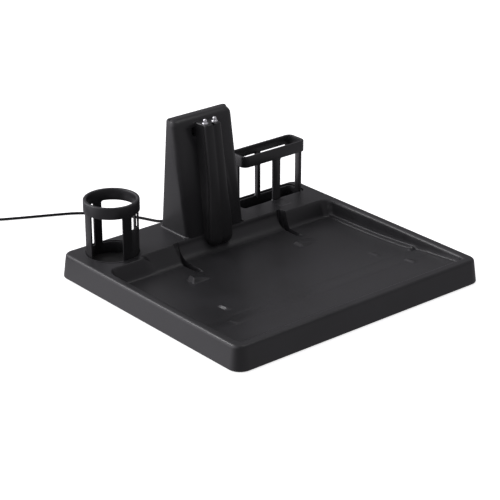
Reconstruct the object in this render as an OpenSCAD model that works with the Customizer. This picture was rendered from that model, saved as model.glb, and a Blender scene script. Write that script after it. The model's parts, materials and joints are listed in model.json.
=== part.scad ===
// Floor dock for a cordless stick cleaner: a tray that the cleaner's head parks in, a charging
// tower with a fluted spine and two sprung contacts, two lift-off tool holders and a mains
// adaptor on a thin lead. The origin is on the floor at the middle of the base, the front
// faces -Y and +Z is up.

/* [Base] */
// Width of the base at the floor
base_w = 300; // [290:1:310]
// Depth of the base at the floor
base_d = 270; // [264:1:280]
// Height of the deck above the floor
deck_z = 24.4; // [23.5:0.1:26]
// Plan radius of the base's corners
corner_r = 12.6; // [8:0.2:16]
// How far each side leans in from the floor to the top edge
draft = 3.5; // [2:0.5:4]
// Radius that rolls the sides over into the deck
edge_r = 4; // [3:0.5:5]
// Wall thickness of the moulded tray
wall = 2.4; // [2:0.1:2.6]

/* [Tray floor] */
// Half the width of the tray's recess
recess_half = 138.5; // [136:0.5:140]
// Height of the floor at its lowest, below the tower
floor_z = 7.5; // [7:0.1:8.5]
// How much higher the front platform starts than the floor's front edge
step_rise = 2.5; // [1:0.5:3]
// Where the front platform begins, from the middle
step_y = -76; // [-80:1:-72]
// Inner edge of the front lip
lip_y = -124; // [-126:1:-122]
// Radius of the scoop below the tower
cove_r = 16; // [12:1:18]

/* [Tower] */
// Half the tower's width at its foot
tower_half = 35.2; // [33:0.2:38]
// Height of the tower's crowned top
tower_z = 140.2; // [138:0.2:144]
// Front of the tower's foot
tower_front = 79; // [78:0.5:81]
// Back of the tower's foot
tower_back = 122.5; // [120:0.5:123.5]
// Wall thickness of the tower
tower_wall = 2.5; // [2:0.1:3]

/* [Contacts] */
// Distance between the two charging contacts
contact_pitch = 11.6; // [11:0.1:12.4]
// Diameter of a contact's tip
contact_d = 4; // [3.6:0.1:4.2]
// Travel of a contact when the cleaner sits on it
contact_travel = 2; // [1:0.5:2.5]

/* [Tool holders] */
// Height of both holders' rims above the floor
holder_z = 79.4; // [76:0.2:84]
// Height of the band around each holder's top
band_h = 11.4; // [10:0.2:13]
// Outer diameter of the round holder's band
round_d = 53.8; // [50:0.1:56]
// Length of the long holder
slot_l = 82; // [78:1:82]
// Depth of the long holder, front to back
slot_d = 25.4; // [24:0.2:25.6]
// Wall thickness of the holders
holder_wall = 2.1; // [1.8:0.1:2.4]

/* [Lead and adaptor] */
// Diameter of the mains adaptor's lead
lead_d = 2.8; // [2.6:0.1:3]
// Length of the adaptor's body
adaptor_l = 62; // [56:1:66]
// Width of the adaptor's body
adaptor_w = 42; // [38:1:44]
// Thickness of the adaptor's body
adaptor_t = 28; // [26:1:30]

/* [Hidden] */
$fn = 64;
eps = 0.01;
plastic = "#2c2c2f";
satin = "#242427";
soft_black = "#1a1a1b";
chrome_tint = "#d8d8dc";
steel = "#9a9ca0";

// base
skirt_z = 1;
plate_top = 3.2;
plate_t = 2;
plate_gap = 0.4;
foot_r = 7;
foot_x = base_w / 2 - 24;
foot_y = base_d / 2 - 24;
stem_r = 3;
screw_r = 1.5;
head_r = 2.8;
head_h = 1.6;
boss_r = 3.6;
bore_play = 0.1;
base_screw_at = [
    [-120, -104], [0, -104], [120, -104],
    [-139, 124], [139, 92], [-52, 126], [44, 92]
];

// recess: back edges of its strips, from left to right
left_edge = 71;
inner_edge = 78;
cove_edge = 79.4;
right_edge = 72.5;
left_step_x = -88;
cove_left = -52;
cove_right = 74;
wall_fillet = 4;
wall_lean = 20;
floor_low_y = 40;
floor_curve = 0.0005;
floor_front_y = -62;
platform_rise = 0.084;
platform_end = -112;
groove_w = 4;
groove_deep = 1.6;

// holders
round_at = [-108.3, 103];
round_leg_r = round_d / 2 - 1.3;
socket_z = 13;
socket_play = 0.5;
slot_at = [95.6, 115.3];
slot_corner = 6.5;
sill_z = 52.5;
back_sill_z = 24;
slot_sill_z = 23.4;
back_window_rise = 3.2;
slot_front_leg = [-2.5, 7];
slot_back_leg = [-6.8, -2.9];
slot_end_leg = [-6.5, -0.3];
// windows of the round holder: first angle, last angle and sill height
round_windows = [
    [-177, -102, socket_z + 2.3],
    [-79, -42, sill_z],
    [-25, -10, back_sill_z],
    [-3.5, 78, back_sill_z],
    [99, 153, back_sill_z]
];

// tower
tower_lean = 20 / 117;
tower_back_lean = 0.0946;
tower_top_half = 34;
front_round = 7;
back_round = 3;
cover_half = 26;
cover_low = 34;
cover_high = 128;
window_in = 11.2;
window_out = 16.4;
window_low = 121;
window_high = 129.6;
trim_w = 1.9;
trim_h = 1.3;

// spine and contacts
spine_low = 13;
spine_top = 134;
spine_wall = 2.2;
spine_hollow_half = 8.4;
shoulder_h = 1.6;
contact_y = 88.8;
bush_r = 3.2;
block_low = 113;
block_high = 131;
pin_low = 119;
pin_shaft_r = 1.4;
pin_flange_r = 2;
spring_bore_r = 2.2;
cap_h = 4.4;

// lead
gland_x = 10;
gland_z = 8;
coil_at = [-163, 287];
coil_mid_r = 16.5;
coil_side = 4 * lead_d;
tie_t = 0.8;
coil_low = tie_t;
tie_angle = 20;
tie_from = 282;
cord_ring = 7;
adaptor_at = [-205, 228];
relief_l = 16;
clamp_low = 5.4;
clamp_top = 10.6;

// The lead's route from the gland to the coil, and from the coil to the adaptor
cord_route = [
    [10, 153, 8], [9.5, 158, 7.6], [8, 165, 5.4], [5, 172, 2.8], [1.5, 179, 1.5], [-2, 187, 1.4],
    [-6, 196, 1.4], [-14, 210, 1.4], [-24, 224, 1.4], [-36, 237, 1.4], [-50, 249, 1.4],
    [-66, 258, 1.4], [-84, 267, 1.4], [-102, 276, 1.4], [-118, 284.5, 1.4], [-130, 291.5, 1.6],
    [-142, 299, 2], [-152, 305, 2.2]
];
tail_route = [
    [-171.5, 305.1, 10.2], [-176, 303.1, 10.4], [-180.3, 300.9, 10.7], [-187.6, 296.7, 11.1],
    [-194.9, 292.5, 12], [-199.1, 289.3, 12.8], [-202.3, 285.1, 13.5], [-204.3, 280.3, 13.9],
    [-205, 275, 14], [-205, 273.5, 14]
];
inner_route = [
    [10, 129, 8], [10, 124, 8], [8, 116, 8.2], [4, 109, 9.5], [1, 105, 14], [0, 103.5, 24],
    [0, 103.5, 40], [0, 104, 60], [0, 103.5, 80], [0, 101, 94], [0, 97, 102]
];

// ---------- helpers ----------
function mix(a, b, t) = a + (b - a) * t;
function ease(t) = t <= 0 ? 0 : t >= 1 ? 1 : t * t * (3 - 2 * t);

// Rounded rectangle as exact circles and squares
module rounded_plan(w, d, r) {
    square([w - 2 * r, d], center = true);
    square([w, d - 2 * r], center = true);
    for (x = [-1, 1], y = [-1, 1]) translate([x * (w / 2 - r), y * (d / 2 - r)]) circle(r);
}

module at_each(points) {
    for (p = points) translate([p[0], p[1], 0]) children();
}

// Pan-head screw that points up, its head's underside at z
module screw_up(z, length) {
    translate([0, 0, z - head_h]) cylinder(r = head_r, h = head_h);
    translate([0, 0, z - eps]) cylinder(r = screw_r, h = length);
}

// Catmull-Rom spline through a route's points
function spline_point(p, i, t) =
    let (a = p[max(i - 1, 0)], b = p[i], c = p[i + 1], d = p[min(i + 2, len(p) - 1)])
    0.5 * (2 * b + (c - a) * t + (2 * a - 5 * b + 4 * c - d) * t * t
        + (3 * b - a - 3 * c + d) * t * t * t);
function route_rings(p, spacing) = [
    for (i = [0 : len(p) - 2])
        let (n = max(1, round(norm(p[i + 1] - p[i]) / spacing)))
            for (k = [0 : n - 1]) spline_point(p, i, k / n),
    p[len(p) - 1]
];
function unit(v) = v / norm(v);

// One tube swept along a route's points
module swept_tube(route, d, spacing, sides = 8) {
    pts = route_rings(route, spacing);
    n = len(pts);
    dirs = [for (i = [0 : n - 1]) unit(pts[min(i + 1, n - 1)] - pts[max(i - 1, 0)])];
    rings = [
        for (i = [0 : n - 1])
            let (side_dir = abs(dirs[i][2]) > 0.9 ? [1, 0, 0] : [0, 0, 1])
            let (u = unit(cross(dirs[i], side_dir)), v = cross(u, dirs[i]))
                for (k = [0 : sides - 1])
                    pts[i] + d / 2 * (cos(360 * k / sides) * u + sin(360 * k / sides) * v)
    ];
    walls = [
        for (i = [0 : n - 2], k = [0 : sides - 1])
            let (a = i * sides + k, b = i * sides + (k + 1) % sides)
                [a, b, b + sides, a + sides]
    ];
    caps = [[for (k = [sides - 1 : -1 : 0]) k], [for (k = [0 : sides - 1]) (n - 1) * sides + k]];
    polyhedron(rings, concat(caps, walls), convexity = 6);
}

// ---------- tray shape ----------
// Drafted block with a rolled top edge
module base_block(inset, low, high) {
    slices = [
        [low, draft * (low - skirt_z) / (deck_z - skirt_z)],
        [high - edge_r, draft * 0.8],
        [high - edge_r * 0.62, draft * 0.8 + edge_r * 0.08],
        [high - edge_r * 0.29, draft * 0.8 + edge_r * 0.3],
        [high - edge_r * 0.08, draft * 0.8 + edge_r * 0.62],
        [high, draft * 0.8 + edge_r]
    ];
    hull() for (s = slices, x = [-1, 1], y = [-1, 1]) {
        off = inset + s[1];
        r = max(corner_r - off, 2);
        translate([x * (base_w / 2 - off - r), y * (base_d / 2 - off - r), s[0] - eps])
            cylinder(r = r, h = eps, $fn = 32);
    }
}

// Height of the tray's floor at a depth y
function floor_at(y) =
    y > floor_front_y ? floor_z + floor_curve * pow(y - floor_low_y, 2)
    : let (front = floor_z + floor_curve * pow(floor_front_y - floor_low_y, 2))
        front + step_rise * ease((floor_front_y - y) / (floor_front_y - step_y))
        + platform_rise * max(0, step_y - y);

// Side view of one strip of the recess, back wall at edge, grown outwards by t
function recess_outline(edge, r, lean, t) =
    let (foot = edge - tan(lean) * (deck_z - floor_z), zc = floor_z + r, yc = foot - r * (1 - sin(lean)))
    concat(
        [[edge + t, deck_z + 20], [edge + t, deck_z]],
        [for (a = [-lean : -10 : -90]) [yc + (r + t) * cos(a), zc + (r + t) * sin(a)]],
        [for (y = [yc - 10 : -14 : floor_front_y]) [y, floor_at(y) - t]],
        [for (y = [floor_front_y : -3.5 : step_y]) [y, floor_at(y) - t]],
        [[platform_end, floor_at(platform_end) - t]],
        [for (a = [-60 : -20 : -180])
            [lip_y + 7 + (7 + t) * cos(a), deck_z - 1.5 + (5.5 + t) * sin(a)]],
        [[lip_y - t, deck_z + 20]]
    );

module recess_strip(x0, x1, edge, r, lean, t) {
    translate([x0 - t, 0, 0]) rotate([90, 0, 90]) linear_extrude(height = x1 - x0 + 2 * t)
        polygon(recess_outline(edge, r, lean, t));
}

module recess(t) {
    recess_strip(-recess_half + 8, left_step_x, left_edge, wall_fillet, wall_lean, t);
    recess_strip(-recess_half, -recess_half + 8, left_edge - 7, wall_fillet, wall_lean, t);
    recess_strip(left_step_x, cove_left, inner_edge, wall_fillet, wall_lean, t);
    recess_strip(cove_left, cove_right, cove_edge, cove_r, 0, t);
    recess_strip(cove_right, recess_half - 8, right_edge, wall_fillet, wall_lean, t);
    recess_strip(recess_half - 8, recess_half, right_edge - 7, wall_fillet, wall_lean, t);
}

// Curved groove beside the scoop, for a wheel of the cleaner's head
module wheel_groove(x, t) {
    edge = x < 0 ? inner_edge - 4 : right_edge;
    arc_r = cove_r + 1;
    translate([x - groove_w / 2 - t, 0, 0]) rotate([90, 0, 90]) linear_extrude(height = groove_w + 2 * t)
        polygon(concat(
            [for (a = [-12 : -13 : -90])
                [edge - arc_r + (arc_r + t) * cos(a), floor_z - groove_deep + arc_r + (arc_r + t) * sin(a)]],
            [[edge - arc_r - 20, floor_z + 0.3]],
            [[edge - arc_r, floor_z + 6], [edge - 8, floor_z + 14]]
        ));
}

module sockets(t) {
    translate([round_at[0], round_at[1], socket_z - t])
        cylinder(r = round_leg_r + socket_play + t, h = 40);
    translate([slot_at[0], slot_at[1], socket_z - t]) linear_extrude(height = 40)
        rounded_plan(slot_l + 1 + 2 * t, slot_d + 1 + 2 * t, slot_corner + 0.5 + t);
}

// Low wedge that stops the head's wheel: steep on its left side
module chock(x, y) {
    translate([x, y + 6, floor_z - 1]) rotate([90, 0, 0]) linear_extrude(height = 12)
        polygon([[-5, 0], [-5, 5], [-3.5, 5.5], [16.5, 1], [16.5, 0]]);
}

module floor_rib(x, y, h) {
    translate([x, y, floor_at(y) - 0.6]) linear_extrude(height = h + 0.6)
        rounded_plan(4, 10, 1.9);
}

module tray_boss(p, high) {
    translate([p[0], p[1], plate_top]) cylinder(r = boss_r, h = high - plate_top);
}

module base_tray() {
    color(plastic) difference() {
        union() {
            difference() {
                base_block(0, skirt_z, deck_z);
                difference() {
                    base_block(wall, skirt_z - 1, deck_z - wall);
                    recess(wall);
                    sockets(wall);
                    for (x = [cove_left - groove_w / 2, cove_right + groove_w / 2]) wheel_groove(x, wall - 0.3);
                    for (p = base_screw_at) tray_boss(p, deck_z);
                    for (x = [-75, -45, 40, 60]) translate([x - 0.8, 84, plate_top]) cube([1.6, 48, 30]);
                    for (x = [-1, 1]) translate([gland_x + x * 8, 122, clamp_top]) cylinder(r = 3, h = 20);
                }
                recess(0);
                sockets(0);
            }
            translate([round_at[0], round_at[1], deck_z - 0.5]) difference() {
                cylinder(r = round_leg_r + socket_play + 1.6, h = 1.3);
                translate([0, 0, -1]) cylinder(r = round_leg_r + socket_play, h = 4);
            }
            for (x = [-68.5, 63]) chock(x, 29);
            for (x = [-95, 100]) floor_rib(x, -40, 1);
            for (x = [-102, 103]) floor_rib(x, -72, 1.4);
        }
        for (x = [cove_left - groove_w / 2, cove_right + groove_w / 2]) wheel_groove(x, 0);
        for (p = base_screw_at) translate([p[0], p[1], 0]) cylinder(r = screw_r + bore_play, h = plate_top + 9);
        // opening below the tower, its four screw holes and the finger notch of the long holder
        translate([0, 101, deck_z - wall - 1]) linear_extrude(height = 10) rounded_plan(40, 24, 3);
        at_each(tower_screw_at) cylinder(r = screw_r + bore_play, h = 40);
        translate([96, 95, deck_z + 0.2]) rotate([-9, 0, 0]) cube([9.6, 15, 3], center = true);
        // hole for the lead's gland, and the clamp's screw holes
        translate([gland_x, base_d / 2 - 8, gland_z]) rotate([-90, 0, 0]) cylinder(r = 3.1, h = 20);
        for (x = [-1, 1]) translate([gland_x + x * 8, 122, clamp_top - 1]) cylinder(r = 1.1, h = 8);
    }
}

module base_bottom_plate() {
    color(satin) difference() {
        translate([0, 0, plate_top - plate_t]) linear_extrude(height = plate_t)
            rounded_plan(base_w - 2 * (wall + plate_gap), base_d - 2 * (wall + plate_gap), corner_r - wall);
        for (p = base_screw_at) translate([p[0], p[1], 0]) {
            cylinder(r = screw_r + bore_play, h = 10);
            cylinder(r = head_r + 0.2, h = plate_top - plate_t + 1.1);
        }
        for (x = [-1, 1], y = [-1, 1]) translate([x * foot_x, y * foot_y, 0]) cylinder(r = stem_r + 0.05, h = 10);
        translate([0, -10, plate_top - 0.5]) linear_extrude(height = 1) rounded_plan(120, 90, 4);
    }
}

module base_screws() {
    color(steel) for (p = base_screw_at) translate([p[0], p[1], 0]) {
        translate([0, 0, plate_top - plate_t + 0.2]) cylinder(r = head_r, h = 0.9);
        translate([0, 0, plate_top - plate_t + 1]) cylinder(r = screw_r, h = 9);
    }
}

module foot(x, y) {
    color(soft_black) translate([x * foot_x, y * foot_y, 0]) {
        translate([0, 0, 0.4]) cylinder(r = foot_r, h = plate_top - plate_t - 0.4);
        cylinder(r1 = foot_r - 0.4, r2 = foot_r, h = 0.4);
        translate([0, 0, 1]) cylinder(r = stem_r, h = plate_t + 0.2);
    }
}

module foot_front_left() { foot(-1, -1); }
module foot_front_right() { foot(1, -1); }
module foot_rear_left() { foot(-1, 1); }
module foot_rear_right() { foot(1, 1); }

// ---------- tower ----------
tower_screw_at = [for (x = [-29.5, 29.5], y = [94, 110]) [x, y]];
cover_screw_at = [for (z = [cover_low + 6, cover_high - 6], x = [-22, 22]) [x, z]];
function tower_front_at(z) = tower_front + tower_lean * (z - deck_z);
function tower_back_at(z) = tower_back - tower_back_lean * (z - deck_z);

// Closed form of the tower, made smaller all round by inset: soft front edges, crisp back edges
module tower_form(inset, low) {
    high = tower_z - inset;
    drops = [6.9, 4.6, 2.8, 1.4, 0.5, 0];
    hull() {
        tower_slice(low, tower_half, 0, 0, inset);
        for (d = drops) {
            front_in = front_round - sqrt(max(0, pow(front_round, 2) - pow(front_round - d, 2)));
            back_in = d < back_round ? back_round - sqrt(pow(back_round, 2) - pow(back_round - d, 2)) : 0;
            tower_slice(high - d, tower_top_half, front_in, back_in, inset);
        }
    }
}

module tower_slice(z, half_w, front_in, back_in, inset) {
    half = half_w - inset;
    front = tower_front_at(z) + inset + front_in;
    back = tower_back_at(z) - inset - back_in;
    rf = max(front_round - inset, 1);
    rb = max(back_round - inset, 0.8);
    for (x = [-1, 1]) {
        translate([x * (half - rf - front_in * 0.8), min(front + rf, back - rb - 0.5), z - eps])
            cylinder(r = min(rf, (back - front) / 2), h = eps, $fn = 32);
        translate([x * (half - rb - back_in), back - rb, z - eps]) cylinder(r = rb, h = eps, $fn = 32);
    }
}

module back_opening(play) {
    translate([-cover_half + play, 104, cover_low + play])
        cube([2 * (cover_half - play), 40, cover_high - cover_low - 2 * play]);
}

module tower_shell() {
    color(plastic) {
        difference() {
            tower_form(0, deck_z);
            difference() {
                tower_form(tower_wall, deck_z - 1);
                at_each(tower_screw_at) cylinder(r = boss_r, h = deck_z + 12);
                for (p = cover_screw_at) translate([p[0], tower_front_at(p[1]) + 1, p[1]]) rotate([-90, 0, 0])
                    cylinder(r = boss_r, h = tower_back_at(p[1]) - tower_front_at(p[1]) - 1 - tower_wall - 0.1);
            }
            back_opening(0);
            at_each(tower_screw_at) cylinder(r = screw_r + bore_play, h = deck_z + 10);
            for (p = cover_screw_at) translate([p[0], tower_back_at(p[1]) - 13, p[1]]) rotate([-90, 0, 0])
                cylinder(r = screw_r + bore_play, h = 12);
            // windows beside the spine's head, and the openings behind the spine
            for (x = [-1, 1]) translate([x * (window_in + window_out) / 2, 96, (window_low + window_high) / 2])
                cube([window_out - window_in, 20, window_high - window_low], center = true);
            translate([0, 96, 108]) cube([17, 20, 30], center = true);
            for (z = [48, 76]) translate([0, 80, z]) rotate([-90, 0, 0]) cylinder(r = screw_r + 0.3, h = 20);
        }
    }
}

module tower_back_cover() {
    color(plastic) difference() {
        intersection() {
            difference() {
                tower_form(0.1, deck_z + 2);
                tower_form(tower_wall, deck_z);
            }
            back_opening(0.3);
        }
        for (p = cover_screw_at) translate([p[0], tower_back_at(p[1]) - 13, p[1]]) rotate([-90, 0, 0])
            cylinder(r = screw_r + 0.3, h = 30);
    }
}

module tower_cover_screws() {
    color(steel) for (p = cover_screw_at)
        translate([p[0], tower_back_at(p[1]), p[1]]) rotate([90, 0, 0]) {
            translate([0, 0, -head_h + 0.1]) cylinder(r = head_r, h = head_h);
            cylinder(r = screw_r, h = 11);
        }
}

module tower_mount_screws() {
    color(steel) at_each(tower_screw_at) screw_up(deck_z - wall, 11);
}

// Plan of the tower's foot, grown all round: soft corners in front, crisp ones behind
module tower_plan(grow) {
    mid = (tower_front + tower_back) / 2;
    deep = tower_back - tower_front;
    translate([0, mid]) rounded_plan(2 * (tower_half + grow), deep + 2 * grow, front_round + grow);
    translate([0, mid + deep / 4])
        rounded_plan(2 * (tower_half + grow), deep / 2 + 2 * grow, back_round + grow);
}

module tower_foot_trim() {
    color(satin) translate([0, 0, deck_z]) linear_extrude(height = trim_h) difference() {
        translate([0, 0.5]) tower_plan(trim_w);
        tower_plan(0.25);
        translate([0, tower_front - 3]) square([2 * tower_half + 10, 6.4], center = true);
    }
}

// ---------- spine ----------
function spine_front_at(z) = 69 + 13 * pow((z - spine_low) / (spine_top - spine_low), 1.5);

// Outline of the spine at height z: a blunt wedge with two flutes on its front
function spine_section(z) =
    let (t = (z - spine_low) / (spine_top - spine_low))
    let (shoulder = max(0, z - spine_top + shoulder_h) * 0.5)
    let (front = spine_front_at(z) + shoulder * 0.5)
    let (back = tower_front_at(max(z, deck_z)) - 0.02)
    let (wf = mix(11.8, 9.9, t) - shoulder, wb = mix(16.5, 11, t) - shoulder, c = 2.2)
    [
        [-wb, back], [-mix(wb, wf, 0.55), mix(back, front, 0.55)], [-wf - 0.2, front + c + 1.2],
        [-wf, front + c], [-wf + c * 0.4, front + c * 0.4], [-wf + c * 1.2, front - 0.1],
        [-wf * 0.45, front + 0.2], [-wf * 0.18, front + 0.9], [0, front - 0.2],
        [wf * 0.18, front + 0.9], [wf * 0.45, front + 0.2],
        [wf - c * 1.2, front - 0.1], [wf - c * 0.4, front + c * 0.4], [wf, front + c],
        [wf + 0.2, front + c + 1.2], [mix(wb, wf, 0.55), mix(back, front, 0.55)], [wb, back]
    ];

module spine_solid() {
    levels = [spine_low, deck_z, 40, 60, 80, 100, 120, spine_top - shoulder_h, spine_top];
    sections = [for (z = levels) spine_section(z)];
    m = len(sections[0]);
    n = len(levels);
    pts = [for (i = [0 : n - 1], p = sections[i]) [p[0], p[1], levels[i]]];
    walls = [
        for (i = [0 : n - 2], k = [0 : m - 1], half = [0, 1])
            let (a = i * m + k, b = i * m + (k + 1) % m) half == 0 ? [a, a + m, b + m] : [a, b + m, b]
    ];
    polyhedron(pts, concat([[for (k = [0 : m - 1]) k]], [[for (k = [m - 1 : -1 : 0]) (n - 1) * m + k]], walls),
        convexity = 6);
}

// Hollow behind the spine's front, open towards the tower
module spine_hollow() {
    levels = [26, 60, 100, block_high];
    translate([-spine_hollow_half, 0, 0]) rotate([90, 0, 90]) linear_extrude(height = 2 * spine_hollow_half)
        polygon(concat(
            [for (z = levels) [spine_front_at(z) + spine_wall, z]],
            [[tower_front_at(block_high) + 3, block_high], [tower_front_at(26) + 3, 26]]
        ));
}

module charging_spine() {
    color(satin) difference() {
        spine_solid();
        difference() {
            spine_hollow();
            for (z = [48, 76]) translate([0, 60, z]) rotate([-90, 0, 0]) cylinder(r = boss_r, h = 50);
        }
        for (x = [-1, 1]) translate([x * contact_pitch / 2, contact_y, block_high - 0.2])
            cylinder(r = bush_r + 0.05, h = 20);
        for (z = [48, 76]) translate([0, tower_front_at(z) - 8, z]) rotate([-90, 0, 0])
            cylinder(r = screw_r + bore_play, h = 30);
    }
}

module spine_screws() {
    color(steel) for (z = [48, 76]) translate([0, tower_front_at(z) + tower_wall + 0.45, z]) rotate([90, 0, 0]) {
        translate([0, 0, -head_h]) cylinder(r = head_r, h = head_h);
        cylinder(r = screw_r, h = 9);
    }
}

// ---------- contacts ----------
module contact_block() {
    step_z = pin_low + 1.4 + 0.05;
    color(satin) difference() {
        translate([0, contact_y, (block_low + block_high - 0.1) / 2])
            cube([16.4, 7.2, block_high - 0.1 - block_low], center = true);
        for (x = [-1, 1]) translate([x * contact_pitch / 2, contact_y, 0]) {
            translate([0, 0, block_low - 1]) cylinder(r = spring_bore_r, h = step_z - block_low + 1);
            cylinder(r = pin_shaft_r + 0.06, h = 200);
        }
    }
}

module contact_bush(side) {
    color(chrome_tint) translate([side * contact_pitch / 2, contact_y, 0]) difference() {
        union() {
            translate([0, 0, block_high]) cylinder(r = bush_r, h = spine_top - block_high + 0.4);
            translate([0, 0, spine_top + 0.4]) cylinder(r1 = bush_r, r2 = bush_r - 0.8, h = 0.8);
        }
        cylinder(r = contact_d / 2 + 0.06, h = 200);
    }
}

module contact_bush_left() { contact_bush(-1); }
module contact_bush_right() { contact_bush(1); }

module contact_pin(side) {
    top = spine_top + 4.6;
    tip_r = contact_d / 2;
    color(chrome_tint) translate([side * contact_pitch / 2, contact_y, 0]) {
        translate([0, 0, pin_low]) cylinder(r = pin_flange_r, h = 1.4);
        translate([0, 0, pin_low + 1]) cylinder(r = pin_shaft_r, h = top - cap_h - pin_low);
        translate([0, 0, top - cap_h]) cylinder(r = tip_r, h = cap_h - tip_r);
        translate([0, 0, top - tip_r - eps]) intersection() {
            sphere(r = tip_r);
            cylinder(r = contact_d, h = contact_d);
        }
    }
}

module contact_pin_left() { contact_pin(-1); }
module contact_pin_right() { contact_pin(1); }

module contact_spring(side) {
    wire = 0.35;
    turns = 4;
    spring_r = 1.75;
    coil = [
        for (k = [0 : 10 * turns])
            spring_r * [cos(36 * k), sin(36 * k), 0]
                + [0, 0, mix(block_low + wire / 2, pin_low - wire / 2 - 0.02, k / (10 * turns))]
    ];
    color(steel) translate([side * contact_pitch / 2, contact_y, 0]) swept_tube(coil, wire, 10, 6);
}

module contact_spring_left() { contact_spring(-1); }
module contact_spring_right() { contact_spring(1); }

module contact_board() {
    color("#2f5a3a") difference() {
        translate([0, contact_y + 1, block_low - 0.8]) cube([16, 8, 1.6], center = true);
        for (x = [-6.5, 6.5]) translate([x, contact_y + 3.4, block_low - 3]) cylinder(r = 0.8, h = 6);
    }
}

module board_header() {
    color("#c9c6ba") translate([0, contact_y + 1.5, block_low - 1.6 - 2]) cube([9, 5, 4], center = true);
}

module lead_connector() {
    color("#c9c6ba") translate([0, contact_y + 1.5, block_low - 1.6 - 4 - 2.55]) cube([8, 4.4, 5], center = true);
}

module inner_lead() {
    color(soft_black) swept_tube(concat(inner_route, [[0, 93, 104.4], [0, contact_y + 1.5, 104.8]]), lead_d, cord_ring);
}

// ---------- holders ----------
// Pie slice between two angles, out to radius r
module sector(r, a0, a1, low, high) {
    steps = 6;
    translate([0, 0, low]) linear_extrude(height = high - low)
        polygon(concat([[0, 0]], [for (i = [0 : steps]) r * [cos(mix(a0, a1, i / steps)), sin(mix(a0, a1, i / steps))]]));
}

module round_holder() {
    band_r = round_d / 2;
    inner_r = round_leg_r - holder_wall;
    leg_inner_r = inner_r + 0.4;
    band_low = holder_z - band_h;
    low = socket_z + 0.1;
    color(plastic) translate([round_at[0], round_at[1], 0]) difference() {
        union() {
            translate([0, 0, low]) cylinder(r = round_leg_r, h = holder_z - low);
            translate([0, 0, band_low]) cylinder(r = band_r, h = band_h - 0.7);
            translate([0, 0, holder_z - 0.7]) cylinder(r1 = band_r, r2 = band_r - 0.7, h = 0.7);
        }
        translate([0, 0, low - 1]) cylinder(r = inner_r, h = 100);
        translate([0, 0, low - 1]) cylinder(r = leg_inner_r, h = band_low - low + 1);
        for (w = round_windows) sector(40, w[0], w[1], w[2], band_low);
    }
}

module slot_plan(grow) {
    rounded_plan(slot_l + 2 * grow, slot_d + 2 * grow, slot_corner + grow);
}

// Two of the long holder's legs stand inside its wall as square posts
module slot_posts(low, high) {
    translate([slot_back_leg[0], 7.5, low]) cube([slot_back_leg[1] - slot_back_leg[0], 4, high - low]);
    translate([36.8, slot_end_leg[0], low])
        cube([2.4, slot_end_leg[1] - slot_end_leg[0], high - low]);
}

module slot_holder() {
    low = socket_z + 0.1;
    band_low = holder_z - band_h;
    end = slot_l / 2 + 1;
    window_h = band_low - slot_sill_z;
    color(plastic) translate([slot_at[0], slot_at[1], 0]) {
        difference() {
            union() {
                translate([0, 0, low]) linear_extrude(height = holder_z - low) slot_plan(-0.6);
                translate([0, 0, band_low]) linear_extrude(height = band_h) slot_plan(0);
            }
            translate([0, 0, low - 1]) linear_extrude(height = 100) slot_plan(-0.6 - holder_wall);
            // windows in front of and behind the middle legs
            for (x = [[-end, slot_front_leg[0]], [slot_front_leg[1], end]])
                translate([x[0], -slot_d, slot_sill_z]) cube([x[1] - x[0], slot_d + slot_end_leg[0], window_h]);
            for (x = [[-end, slot_back_leg[0]], [slot_back_leg[1], end]])
                translate([x[0], 4.2, slot_sill_z]) cube([x[1] - x[0], slot_d, window_h]);
            for (x = [[6 - end, slot_back_leg[0]], [slot_back_leg[1], end - 8]])
                translate([x[0], 4.2, band_low - 1]) cube([x[1] - x[0], slot_d, 1 + back_window_rise]);
            // openings beside the end legs
            translate([-end, -slot_d, slot_sill_z]) cube([12, slot_d - 2.1, window_h]);
            translate([end - 12, slot_end_leg[1], slot_sill_z]) cube([12, slot_d, window_h]);
        }
        slot_posts(slot_sill_z - 2, band_low + 2);
    }
}

// ---------- lead ----------
module cord_gland() {
    color(soft_black) translate([gland_x, 0, gland_z]) rotate([-90, 0, 0]) difference() {
        union() {
            translate([0, 0, 129]) cylinder(r = 3, h = 9);
            translate([0, 0, 130.2]) cylinder(r = 4, h = 1.4);
            translate([0, 0, 135.2]) cylinder(r = 4.2, h = 1.8);
            translate([0, 0, 137]) cylinder(r1 = 3.1, r2 = 2, h = 18);
        }
        translate([0, 0, 153]) cylinder(r = lead_d / 2, h = 10);
        translate([0, 0, 120]) cylinder(r = lead_d / 2, h = 9 + 1);
    }
}

module cord_clamp() {
    color(satin) difference() {
        translate([gland_x - 11, 119, clamp_low]) cube([22, 6, clamp_top - clamp_low]);
        translate([gland_x, 100, gland_z]) rotate([-90, 0, 0]) cylinder(r = lead_d / 2 + 0.05, h = 40);
        for (x = [-1, 1]) translate([gland_x + x * 8, 122, 0]) cylinder(r = 1.15, h = 30);
    }
}

module cord_clamp_screws() {
    color(steel) for (x = [-1, 1]) translate([gland_x + x * 8, 122, 0]) {
        translate([0, 0, clamp_low - 1.4]) cylinder(r = 2, h = 1.4);
        translate([0, 0, clamp_low - eps]) cylinder(r = 1, h = 10);
    }
}

module power_cord() {
    color(soft_black) swept_tube(cord_route, lead_d, cord_ring);
}

module cord_tail() {
    color(soft_black) swept_tube(tail_route, lead_d, cord_ring);
}

module coil_section(grow) {
    translate([coil_mid_r, coil_side / 2]) rounded_plan(coil_side + 2 * grow, coil_side + 2 * grow, 1.4 + grow);
}

module cord_coil() {
    color(soft_black) translate([coil_at[0], coil_at[1], coil_low]) rotate_extrude() coil_section(0);
}

module cord_tie() {
    color("#303030") translate([coil_at[0], coil_at[1], coil_low]) rotate([0, 0, tie_from])
        rotate_extrude(angle = tie_angle) difference() {
            coil_section(tie_t);
            coil_section(0.02);
        }
}

// ---------- adaptor ----------
module adaptor_plan(grow) {
    rounded_plan(adaptor_w + 2 * grow, adaptor_l + 2 * grow, 6 + grow);
}

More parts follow.
